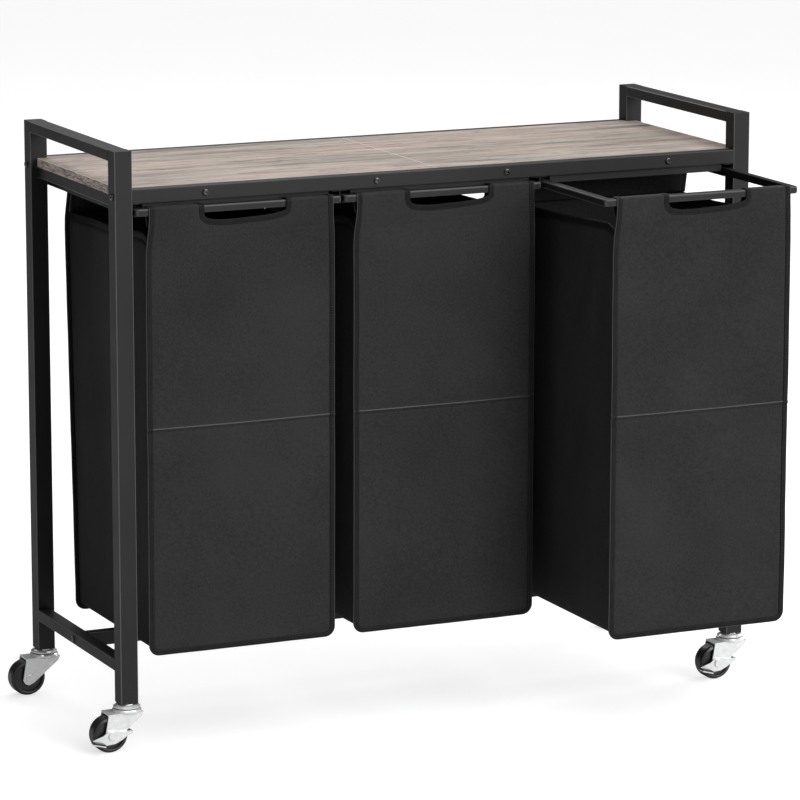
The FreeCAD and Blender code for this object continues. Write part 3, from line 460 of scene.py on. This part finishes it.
def dress_frame():
    """Give every CAD node its slot's material, and return the materials by slot."""
    makers = {
        "frame_steel": powder_coat, "plain_steel": plain_steel, "shelf_wood": greige_oak,
        "bag_cloth": bag_cloth, "bag_board": stiffener_board, "black_bolt": dark_bolt,
        "zinc": bright_zinc, "wheel_black": wheel_plastic, "black_plastic": dull_plastic,
    }
    made = {slot: maker() for slot, maker in makers.items()}
    for row in frame["record"]["subparts"]:
        dress(made[row["material_slot"]], [row["node"]])
    # The beams and the bag frames get a weaker painted highlight on their edges.
    dress(powder_coat("beam_coat", EDGE_HIGHLIGHT_BEAM), BEAMS)
    dress(powder_coat("bar_coat", EDGE_HIGHLIGHT_BAR), [f"{side}_bag_frame" for side in SIDES])
    return made


# ---------------------------------------------------------------- cloth helpers

CLOTH = 1.1 * MM                 # thickness of the bag cloth
TAPE_WIDE = 7.5 * MM
TAPE_THICK = 2.6 * MM
TAPE_LAP = 1.2 * MM              # how far the tape laps back over the seam line
EDGE_CORD = 1.3 * MM             # thickness of the overlocked edge of the tape
STITCH_PITCH = 3.6 * MM
STITCH_LONG = 2.6 * MM
STITCH_THICK = 0.8 * MM


def new_piece(name, mesh_data, material, body):
    piece = bpy.data.objects.new(name, mesh_data)
    bpy.context.scene.collection.objects.link(piece)
    mesh_data.materials.append(material)
    mesh_data.shade_smooth()
    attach(piece, body)
    return piece


def mesh_from(name, bm):
    data = bpy.data.meshes.new(name)
    bm.to_mesh(data)
    bm.free()
    return data


def add_grid(bm, rows, closed=False):
    """Faces between neighbouring rows of points."""
    made = [[bm.verts.new(point) for point in row] for row in rows]
    if closed:
        made = [row + row[:1] for row in made]
    for lower, upper in zip(made, made[1:]):
        for a, b, c, d in zip(lower, lower[1:], upper[1:], upper):
            bm.faces.new((a, b, c, d))
    return made


def ease(value, start, end):
    """A smooth rise from 0 at start to 1 at end."""
    t = min(1.0, max(0.0, (value - start) / (end - start)))
    return t * t * (3 - 2 * t)


def rough(x, y, seed, scale):
    """Smooth noise from about -1 to 1."""
    return noise.noise(Vector((x * scale, y * scale, seed * 7.31)))


def frames_along(points, normals, closed=False):
    """For each point of a line that lies on cloth: the direction along it, the direction across
    it in the cloth, and the cloth's normal."""
    count = len(points)
    rows = []
    for i, normal in enumerate(normals):
        before = points[(i - 1) % count] if closed else points[max(i - 1, 0)]
        after = points[(i + 1) % count] if closed else points[min(i + 1, count - 1)]
        along = (after - before).normalized()
        across = along.cross(normal).normalized()
        rows.append((along, across, across.cross(along).normalized()))
    return rows


def add_ribbon(bm, points, normals, low, high, thick, closed=False):
    """A flat tape with rounded edges along a line, from one distance across it to another."""
    half = thick / 2
    soft = min(half, (high - low) / 3)
    section = [(low, 0), (low + soft * 0.3, half * 0.75), (low + soft, half), (high - soft, half),
               (high - soft * 0.3, half * 0.75), (high, 0), (high - soft * 0.3, -half * 0.75),
               (high - soft, -half), (low + soft, -half), (low + soft * 0.3, -half * 0.75)]
    rows = []
    for point, (_, across, out) in zip(points, frames_along(points, normals, closed)):
        rows.append([point + across * a + out * o for a, o in section])
    if closed:
        rows.append(rows[0])
    made = add_grid(bm, rows, closed=True)
    if not closed:
        bm.faces.new(made[0][:-1][::-1])
        bm.faces.new(made[-1][:-1])


def add_stitches(bm, points, normals, across_by, lift):
    """A row of stitches beside a line: short raised threads with gaps between them."""
    line = []
    for point, (along, across, out) in zip(points, frames_along(points, normals)):
        line.append((point + across * across_by + out * lift, along, across, out))
    travelled = 0.0
    due = STITCH_PITCH / 2
    for (start, *_), (end, along, across, out) in zip(line, line[1:]):
        step = (end - start).length
        while step > 0 and due <= travelled + step:
            centre = start.lerp(end, (due - travelled) / step)
            add_stitch(bm, centre, along, across, out)
            due += STITCH_PITCH
        travelled += step


def add_stitch(bm, centre, along, across, out):
    half = STITCH_THICK / 2
    ends = [bm.verts.new(centre + along * (STITCH_LONG / 2 * sign) - out * half * 0.5)
            for sign in (-1, 1)]
    ring = [bm.verts.new(centre + across * (half * a) + out * (half * o))
            for a, o in ((1, 0), (0, 1), (-1, 0), (0, -1))]
    for a, b in zip(ring, ring[1:] + ring[:1]):
        bm.faces.new((ends[0], a, b))
        bm.faces.new((ends[1], b, a))


# ---------------------------------------------------------------- bags

BAR_WIDE = 12 * MM
BAR_GAP = 0.9 * MM               # from the bar's face to the middle of the cloth
SEAM_INSET = 6 * MM              # from the bag's edge to the seam under the binding
CORNER = 8 * MM                  # rounding of the seam at the two bottom corners
CORNER_STEPS = 6
PANEL_ROWS = 34
EDGE_COLUMN = 0.024              # the narrow column along each seam, as a share
PANEL_COLUMNS = 9                # in each side part of a panel; the grip part has GRIP_COLUMNS
GRIP_COLUMNS = 18
GRIP_MIDDLE = 0.038              # the grip's middle and half width, as shares of half a panel
GRIP_HALF = 0.475
GRIP_LEFT, GRIP_RIGHT = GRIP_MIDDLE - GRIP_HALF, GRIP_MIDDLE + GRIP_HALF
GRIP_DEEP = 10.5 * MM
GRIP_SKEW = 0.22
SLEEVE_NARROW = 3.6 * MM         # how much the sleeve is drawn in at each side
SLEEVE_SHIFT = 2 * MM            # and how far it sits to the right
SLEEVE_TAPER = 60 * MM           # height over which the panel narrows to the sleeve
BEHIND_BAR = 0.65 * MM           # how much flatter the tape lies behind the bar
SLEEVE_DEEP = 33 * MM            # from the bar's underside to the sleeve's lower stitches
MIDDLE_SEAM = 0.440              # height of the fold across the front panel
GUSSET_STEPS = 20
BAND_STEPS = 7
GRIP_INNER_SHARE = 0.42          # the grip's depth in the inner layer, as a share of that layer
FRONT_TUCK, BACK_TUCK = 3 * MM, 25 * MM
FRONT_HEM_DROP, BACK_HEM_DROP = 44 * MM, 46 * MM    # drop of the side hem at its two ends
FRONT_LEAN, BACK_LEAN = 1.9 * MM, 8 * MM
HEM_CREST = 13 * MM              # how far the side hem rises just behind the front seam
HEM_SAG = 4 * MM
HEM_SWAY = 1.5 * MM              # how unevenly the back panel's inner hem hangs
BELLY = 2.2 * MM                 # how far the middle of a panel bulges
WAVE_BROAD, WAVE_FINE, GATHERS = 1.3 * MM, 0.7 * MM, 0.9 * MM
SEAM_RIDGE, SEAM_DIP = 1.5 * MM, 0.5 * MM
SIDE_DRAW, SIDE_FOLDS, SIDE_CREASES = 6.5 * MM, 4.6 * MM, 1.8 * MM
SLEEVE_TURN = 2.2 * MM           # rounding of the sleeve over the bar's edges
# Each tape as its two edges across the line that it follows, and its thickness.
GRIP_TAPE = (-1.0 * MM, 7.0 * MM, 2.4 * MM)
HEM_TAPE_OVER, HEM_TAPE_UNDER, HEM_TAPE_THICK = 0.6 * MM, 9 * MM, 2.2 * MM
# Rows of stitches: distance across the line, and height over it.
TAPE_ROWS = (0.6 * MM, 3.4 * MM)
GRIP_ROW = (5.6 * MM, 1.2 * MM)
HEM_ROW = (7.5 * MM, 1.2 * MM)
SLEEVE_ROWS = (SLEEVE_DEEP - 8 * MM, SLEEVE_DEEP)
SEAM_RIBBON = 0.9 * MM           # half width of the ribbon along the middle seam


def bag_measures(side):
    frame_low, frame_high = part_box(f"{side}_bag_frame")
    cloth_low, cloth_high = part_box(f"{side}_bag_cloth")
    return SimpleNamespace(
        name=f"{side}_bag", seed=SIDES.index(side) + 1,
        middle=(cloth_low.x + cloth_high.x) / 2, half=(cloth_high.x - cloth_low.x) / 2,
        front=frame_low.y, back=frame_high.y, bar_top=frame_high.z, bar_low=frame_low.z,
        floor=cloth_low.z + CLOTH / 2)


def front_face(bag):
    """The front panel: out is its side of the bag, tuck how far its foot is set in, and lean
    how far its inner hem hangs behind the bar's front."""
    return SimpleNamespace(bag=bag, bar_y=bag.front, out=-1, tuck=FRONT_TUCK, grip=True,
                           hem=bag.bar_low - FRONT_HEM_DROP, lean=FRONT_LEAN, flat_seed=bag.seed)


def back_face(bag):
    return SimpleNamespace(bag=bag, bar_y=bag.back, out=1, tuck=BACK_TUCK, grip=False,
                           hem=bag.bar_low - BACK_HEM_DROP, lean=BACK_LEAN,
                           flat_seed=bag.seed + 10)


def face_point(face, x, outward, z):
    bag = face.bag
    shift = SLEEVE_SHIFT * ease(z, bag.bar_low - SLEEVE_TAPER, bag.bar_low)
    return Vector((bag.middle + x + shift, face.bar_y + face.out * outward, z))


def half_width(bag, z):
    """Half the width between the side seams: rounded at the bottom, drawn in at the sleeve."""
    wide = bag.half - SEAM_INSET
    wide -= SLEEVE_NARROW * ease(z, bag.bar_low - SLEEVE_TAPER, bag.bar_low)
    up = z - bag.floor
    if up < CORNER:
        wide -= CORNER - math.sqrt(max(0.0, CORNER ** 2 - (CORNER - up) ** 2))
    return wide


def panel_outward(face, x, z):
    """How far the hanging panel stands outside the bar's outer face."""
    bag = face.bag
    height = (z - bag.floor) / (bag.bar_low - bag.floor)
    height = min(1.0, max(0.0, height))
    belly = BELLY * math.sin(math.pi * height) * (1 - (x / bag.half) ** 2)
    calm = math.sin(math.pi * height) ** 0.5
    waves = (WAVE_BROAD * rough(x, z, face.flat_seed, 7)
             + WAVE_FINE * rough(x, z, face.flat_seed, 22))
    outward = BAR_GAP - face.tuck * (1 - height) + belly + waves * calm
    gathered = ease(height, 0.84, 0.93) * (1 - ease(height, 0.95, 1.0))
    gathered += ease(0.12 - height, 0, 0.1)
    outward += GATHERS * rough(x, z * 1.6, face.flat_seed + 3, 26) * gathered
    if face.grip:
        from_seam = (z - MIDDLE_SEAM) / MM
        outward += SEAM_RIDGE * math.exp(-(from_seam / 1.5) ** 2)
        outward -= SEAM_DIP * math.exp(-((from_seam + 3.5) / 1.8) ** 2)
    return outward


def panel_heights(face):
    """Heights of the panel's rows from the bag's floor to where the side panel ends."""
    bag = face.bag
    rounded = [bag.floor + CORNER * (1 - math.cos(math.pi / 2 * i / CORNER_STEPS))
               for i in range(CORNER_STEPS)]
    corner_top = bag.floor + CORNER
    shares = [i / PANEL_ROWS for i in range(PANEL_ROWS + 1)]
    span = front_face(bag).hem - corner_top
    seam_share = (MIDDLE_SEAM - corner_top) / span
    shares = [s for s in shares if abs(s - seam_share) > 8 * MM / span]
    shares += [seam_share + offset * MM / span for offset in (-6, -4.5, -3, -1.5, 0, 1.5, 3, 5)]
    return rounded + [corner_top + (face.hem - corner_top) * s for s in sorted(shares)]


def panel_columns():
    """Columns of a panel as shares of its half width, with one on each side of the grip."""
    edge = 1 - EDGE_COLUMN
    steps = range(PANEL_COLUMNS + 1)
    left = [-edge + (GRIP_LEFT + edge) * i / PANEL_COLUMNS for i in steps]
    right = [GRIP_RIGHT + (edge - GRIP_RIGHT) * i / PANEL_COLUMNS for i in steps]
    inner = [GRIP_MIDDLE + GRIP_HALF * math.sin(math.pi / 2 * (2 * i / GRIP_COLUMNS - 1))
             for i in range(1, GRIP_COLUMNS)]
    return [-1.0] + left + inner + right + [1.0]


def grip_drop(u):
    """How far below the bar's underside the grip's edge is, 0 at its two ends."""
    v = max(-1.0, min(1.0, (u - GRIP_MIDDLE) / GRIP_HALF))
    return GRIP_DEEP * (1 - abs(v) ** 3) ** (1 / 3) * (1 - GRIP_SKEW * v)


def in_grip(u, slack=-1e-6):
    return GRIP_LEFT - slack < u < GRIP_RIGHT + slack


def sleeve_line(face):
    """The sleeve's section over the bar, from the outside to the inside, as (outward, z)."""
    bag = face.bag
    top = bag.bar_top + BAR_GAP
    out = BAR_GAP
    inside = -BAR_WIDE - BAR_GAP
    turn = SLEEVE_TURN
    points = [(out, bag.bar_low + 4 * MM), (out, top - turn)]
    points += [(out - turn + turn * math.cos(a), top - turn + turn * math.sin(a))
               for a in (math.pi / 6, math.pi / 3)]
    points += [(out - turn, top), (-BAR_WIDE / 2, top + 0.15 * MM), (inside + turn, top)]
    points += [(inside + turn - turn * math.cos(a), top - turn + turn * math.sin(a))
               for a in (math.pi / 3, math.pi / 6)]
    return points + [(inside, top - turn), (inside, bag.bar_low + 3 * MM)]


def inner_line(face):
    """The sleeve's inner layer from beside the bar to its hem, as (outward, z)."""
    low = face.bag.bar_low
    inside = -BAR_WIDE - BAR_GAP
    lean = face.lean
    if face.grip:
        return [(inside, low - 1 * MM), (inside + 1.5 * MM, low - 6 * MM),
                (inside + 5 * MM, low - 14 * MM), (-lean - 2 * MM, low - 21 * MM),
                (-lean, low - 27 * MM), (-lean, low - 32 * MM), (-lean, low - 37 * MM)]
    return [(inside, low - 1 * MM), (inside - 0.5 * MM, low - 8 * MM),
            (inside + 1.0 * MM, low - 18 * MM), (inside + 2.2 * MM, low - 27 * MM),
            (inside + 3.5 * MM, low - 37 * MM)]


def along_line(line, share):
    """The point at a share of the way along a line of (outward, z) points."""
    lengths = [math.dist(a, b) for a, b in zip(line, line[1:])]
    left = share * sum(lengths)
    for (a, b), length in zip(zip(line, line[1:]), lengths):
        if left <= length:
            t = left / length
            return (a[0] + (b[0] - a[0]) * t, a[1] + (b[1] - a[1]) * t)
        left -= length
    return line[-1]


def panel_point(face, u, z):
    """A point of the hanging panel at a share of its half width."""
    x = u * half_width(face.bag, z)
    return face_point(face, x, panel_outward(face, x, z), z)


def row_at(face, columns, z):
    return [panel_point(face, u, z) for u in columns]


def build_panel(bm, face):
    """One panel from the bag's floor up to its bar, round it and down to the inner hem."""
    bag = face.bag
    columns = panel_columns()
    heights = panel_heights(face)
    base = bag.bar_low - SLEEVE_DEEP
    extra = [h for h in (heights[-1] + (base - heights[-1]) * i / 2 for i in (1, 2))
             if base - heights[-1] > 1 * MM]
    add_grid(bm, [row_at(face, columns, z) for z in heights + extra])
    start = (heights + extra)[-1]
    for part in split_columns(face, columns):
        add_grid(bm, band_rows(face, part, start))
        add_grid(bm, inner_rows(face, part))
        if not (face.grip and any(in_grip(u) for u in part)):
            add_grid(bm, sleeve_rows(face, part))


def split_columns(face, columns):
    """The columns as one part, or as three that meet at the grip's sides."""
    if not face.grip:
        return [columns]
    middle = [u for u in columns if in_grip(u, 1e-6)]
    left = [u for u in columns if u <= middle[0]]
    right = [u for u in columns if u >= middle[-1]]
    return [left, middle, right]


def band_rows(face, part, start):
    """Rows of the outer layer from the sleeve's stitches up to the bar or the grip's edge."""
    bag = face.bag
    rows = []
    for step in range(BAND_STEPS + 1):
        row = []
        for u in part:
            stop = bag.bar_low
            if face.grip and in_grip(u):
                stop -= grip_drop(u)
            row.append(panel_point(face, u, start + (stop - start) * step / BAND_STEPS))
        rows.append(row)
    return rows


def sleeve_rows(face, part):
    """Rows of the sleeve from the bar's underside, round the bar, to the inner layer."""
    bar_low = face.bag.bar_low
    wide = half_width(face.bag, bar_low)
    line = sleeve_line(face) + [inner_line(face)[0]]
    return [row_at(face, part, bar_low)] + [[face_point(face, u * wide, outward, z) for u in part]
                      for outward, z in line]


def inner_rows(face, part):
    """Rows of the inner layer from beside the bar, or the grip's edge, down to the hem."""
    line = inner_line(face)
    wide = half_width(face.bag, face.bag.bar_low)
    rows = []
    for step in range(BAND_STEPS + 1):
        row = []
        for u in part:
            first = 0.0
            if face.grip and in_grip(u):
                first = GRIP_INNER_SHARE * grip_drop(u) / GRIP_DEEP
            outward, z = along_line(line, first + (1 - first) * step / BAND_STEPS)
            if not face.grip:
                outward += HEM_SWAY * rough(u, z, face.flat_seed, 3) * step / BAND_STEPS
            row.append(face_point(face, u * wide, outward, z))
        rows.append(row)
    return rows


def rim(face):
    """The seam line round a panel: down its left edge, along its floor and up its right."""
    heights = panel_heights(face)
    columns = panel_columns()
    left = [panel_point(face, -1.0, z) for z in reversed(heights)]
    floor = row_at(face, columns, heights[0])[1:-1]
    right = [panel_point(face, 1.0, z) for z in heights]
    return left + floor + right


def rim_outward(points):
    """The direction out of the bag at each point of a rim, in the plane of X and Z."""
    rows = []
    for before, after in zip([points[0]] + points[:-1], points[1:] + [points[-1]]):
        along = after - before
        rows.append(Vector((along.z, 0, -along.x)).normalized())
    return rows


def hem_height(bag, share):
    """The height of the side panel's hem, from the front seam to the back one."""
    front, back = front_face(bag).hem, back_face(bag).hem
    straight = front + (back - front) * share
    rise = HEM_CREST * ease(share, 0.0, 0.12) * (1 - share)
    return straight + rise - HEM_SAG * math.sin(math.pi * share)


def side_bow(bag, share, height, side_sign):
    """How far a side wall stands out from straight between its seams. It is slack: it draws in
    between the seams and lies in long soft folds."""
    between = math.sin(math.pi * share)
    up = ease(height, 0.0, 0.16)
    seed = bag.seed * 3 + side_sign
    draw = -SIDE_DRAW * between ** 0.7 * up * (0.75 + 0.25 * math.sin(height * 5 + seed))
    folds = SIDE_FOLDS * rough(share * 0.9, height * 0.35, seed, 4.2)
    creases = SIDE_CREASES * rough(share + height * 0.4, height * 0.5, seed + 5, 11)
    return draw + (folds + creases) * min(1.0, between * 1.6) * up


def build_gusset(bm, bag):
    """The side walls and the floor: one strip between the seams of the front and the back."""
    front, back = rim(front_face(bag)), rim(back_face(bag))
    out = rim_outward(front)
    lap = 3 * MM / (bag.back - bag.front)
    shares = [0.0, lap] + [i / GUSSET_STEPS for i in range(1, GUSSET_STEPS)] + [1 - lap, 1.0]
    reach = front_face(bag).hem - bag.floor
    rows = []
    for start, end, outward in zip(front, back, out):
        upright = abs(outward.x)
        row = []
        for share in shares:
            point = start.lerp(end, share)
            height = (point.z - bag.floor) / reach
            lift = hem_height(bag, share) - (front[0].z + (back[0].z - front[0].z) * share)
            point.z += lift * ease(height, 0.75, 1.0)
            bow = side_bow(bag, share, height, outward.x) * upright
            row.append(point + outward * bow)
        rows.append(row)
    add_grid(bm, rows)


def cloth_shell(bag, material):
    """The bag's cloth as one welded shell with the thickness of the cloth."""
    bm = bmesh.new()
    build_panel(bm, front_face(bag))
    build_panel(bm, back_face(bag))
    build_gusset(bm, bag)
    bmesh.ops.remove_doubles(bm, verts=bm.verts, dist=0.05 * MM)
    bmesh.ops.recalc_face_normals(bm, faces=bm.faces)
    shell = new_piece(f"{bag.name}_shell", mesh_from(f"{bag.name}_shell", bm), material, bag.name)
    smooth = shell.modifiers.new("smooth", "SUBSURF")
    smooth.levels = smooth.render_levels = 1
    smooth.boundary_smooth = "PRESERVE_CORNERS"
    thick = shell.modifiers.new("thickness", "SOLIDIFY")
    thick.thickness = CLOTH
    thick.offset = 0
    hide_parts(f"{bag.name}_cloth")
    return shell


def pressed(outward):
    """Tape and thread lie flatter where they pass behind the bar."""
    return outward + BEHIND_BAR if outward < -BAR_WIDE / 2 else outward


def bound_edge(face):
    """The line of the binding round a panel, and the cloth's normal along it: from the inner
    hem up over the bar, round the panel's rim, and over the bar again."""
    wide = half_width(face.bag, face.bag.bar_low)
    outward = Vector((0, face.out, 0))
    left, right, normals = [], [], []
    for o, z in inner_line(face)[::-1] + sleeve_line(face)[::-1]:
        left.append(face_point(face, -wide, pressed(o), z))
        right.append(face_point(face, wide, pressed(o), z))
        normals.append(sleeve_normal(face, o, z))
    for z in reversed(free_edge_heights(face)):
        left.append(panel_point(face, -1.0, z))
        right.append(panel_point(face, 1.0, z))
        normals.append(outward)
    seam = rim(face)
    return left + seam + right[::-1], normals + [outward] * len(seam) + normals[::-1]


def free_edge_heights(face):
    """Heights of the edge's points between the side panel's hem and the bar."""
    low, high = face.hem, face.bag.bar_low
    return [low + (high - low) * i / 6 for i in range(1, 7)]


def sleeve_normal(face, outward, z):
    """The outer normal of the sleeve at a point of its section."""
    bag = face.bag
    from_middle = outward + BAR_WIDE / 2
    if z > bag.bar_top - 1 * MM:
        middle_z = (bag.bar_top + bag.bar_low) / 2
        return Vector((0, face.out * from_middle * 0.25, z - middle_z)).normalized()
    sign = 1 if from_middle > 0 else -1
    return Vector((0, face.out * sign, 0))


def grip_loop(face):
    """The line round the grip: its lower edge outside, over the bar, its lower edge inside and
    back over the bar, with the cloth's normals."""
    bag = face.bag
    columns = [u for u in panel_columns() if in_grip(u, 1e-6)]
    wide = half_width(bag, bag.bar_low)
    outward = Vector((0, face.out, 0))
    points = [panel_point(face, u, bag.bar_low - grip_drop(u)) for u in columns]
    normals = [outward] * len(columns)
    over = sleeve_line(face) + [inner_line(face)[0]]
    for o, z in over:
        points.append(face_point(face, GRIP_RIGHT * wide, pressed(o), z))
        normals.append(sleeve_normal(face, o, z))
    for u in reversed(columns[1:-1]):
        share = GRIP_INNER_SHARE * grip_drop(u) / GRIP_DEEP
        o, z = along_line(inner_line(face), share)
        points.append(face_point(face, u * wide, pressed(o), z))
        normals.append(-outward)
    for o, z in reversed(over):
        points.append(face_point(face, GRIP_LEFT * wide, pressed(o), z))
        normals.append(sleeve_normal(face, o, z))
    return points, normals


def hem_line(bag, side_sign):
    """The side panel's top edge and its outward normals."""
    bm = bmesh.new()
    build_gusset(bm, bag)
    bm.verts.ensure_lookup_table()
    count = GUSSET_STEPS + 3
    row = bm.verts[:count] if side_sign < 0 else bm.verts[-count:]
    points = [v.co.copy() for v in row]
    bm.free()
    return points, [Vector((side_sign, 0, 0))] * count


def bag_bindings(bag, material):
    """Tapes folded over the seams round both panels, the grip and the side hems, and the
    sleeves' rows of stitches."""
    bm = bmesh.new()
    for face in (front_face(bag), back_face(bag)):
        points, normals = bound_edge(face)
        low, high = (-TAPE_LAP, TAPE_WIDE - TAPE_LAP)
        if face.out > 0:
            low, high = -high, -low
        add_ribbon(bm, points, normals, low, high, TAPE_THICK)
        for drop in SLEEVE_ROWS:
            line = row_at(face, panel_columns(), bag.bar_low - drop)
            add_stitches(bm, line, [Vector((0, face.out, 0))] * len(line), 0, CLOTH / 2)
    points, normals = grip_loop(front_face(bag))
    add_ribbon(bm, points, normals, *GRIP_TAPE, closed=True)
    for side_sign in (-1, 1):
        points, normals = hem_line(bag, side_sign)
        low, high = -HEM_TAPE_UNDER, HEM_TAPE_OVER
        if side_sign < 0:
            low, high = -high, -low
        add_ribbon(bm, points, normals, low, high, HEM_TAPE_THICK)
    bmesh.ops.recalc_face_normals(bm, faces=bm.faces)
    piece = new_piece(f"{bag.name}_bindings", mesh_from(f"{bag.name}_bindings", bm), material,
                      bag.name)
    return piece


def bag_stitches(bag, material):
    """The thread: rows along the tapes, the overlocked edge of the tape, and the fold seam."""
    bm = bmesh.new()
    lift = TAPE_THICK / 2 - 0.05 * MM
    for face in (front_face(bag), back_face(bag)):
        points, normals = bound_edge(face)
        for across in TAPE_ROWS:
            add_stitches(bm, points, normals, across * -face.out, lift)
        edge = (TAPE_WIDE - TAPE_LAP - EDGE_CORD, TAPE_WIDE - TAPE_LAP + EDGE_CORD / 3)
        low, high = edge if face.out < 0 else (-edge[1], -edge[0])
        add_ribbon(bm, points, normals, low, high, EDGE_CORD * 1.6)
    points, normals = grip_loop(front_face(bag))
    add_stitches(bm, points, normals, *GRIP_ROW)
    line = row_at(front_face(bag), panel_columns(), MIDDLE_SEAM + SEAM_RIBBON)
    upward = Vector((0, -1, 0.5)).normalized()
    add_ribbon(bm, line, [upward] * len(line), -SEAM_RIBBON, SEAM_RIBBON, 2 * SEAM_RIBBON)
    for side_sign in (-1, 1):
        points, normals = hem_line(bag, side_sign)
        add_stitches(bm, points, normals, -HEM_ROW[0] * side_sign, HEM_ROW[1])
    bmesh.ops.recalc_face_normals(bm, faces=bm.faces)
    piece = new_piece(f"{bag.name}_stitches", mesh_from(f"{bag.name}_stitches", bm), material,
                      bag.name)
    return piece


def make_bags(cloth):
    """Three bags, each a sheet of cloth that hangs on its own bar frame."""
    tape = binding_tape()
    thread = sewing_thread()
    for side in SIDES:
        bag = bag_measures(side)
        shell = cloth_shell(bag, cloth)
        extras = [bag_bindings(bag, tape), bag_stitches(bag, thread)]


# ---------------------------------------------------------------- everything

add_camera()
add_studio()
finishes = dress_frame()
make_bags(finishes["bag_cloth"])
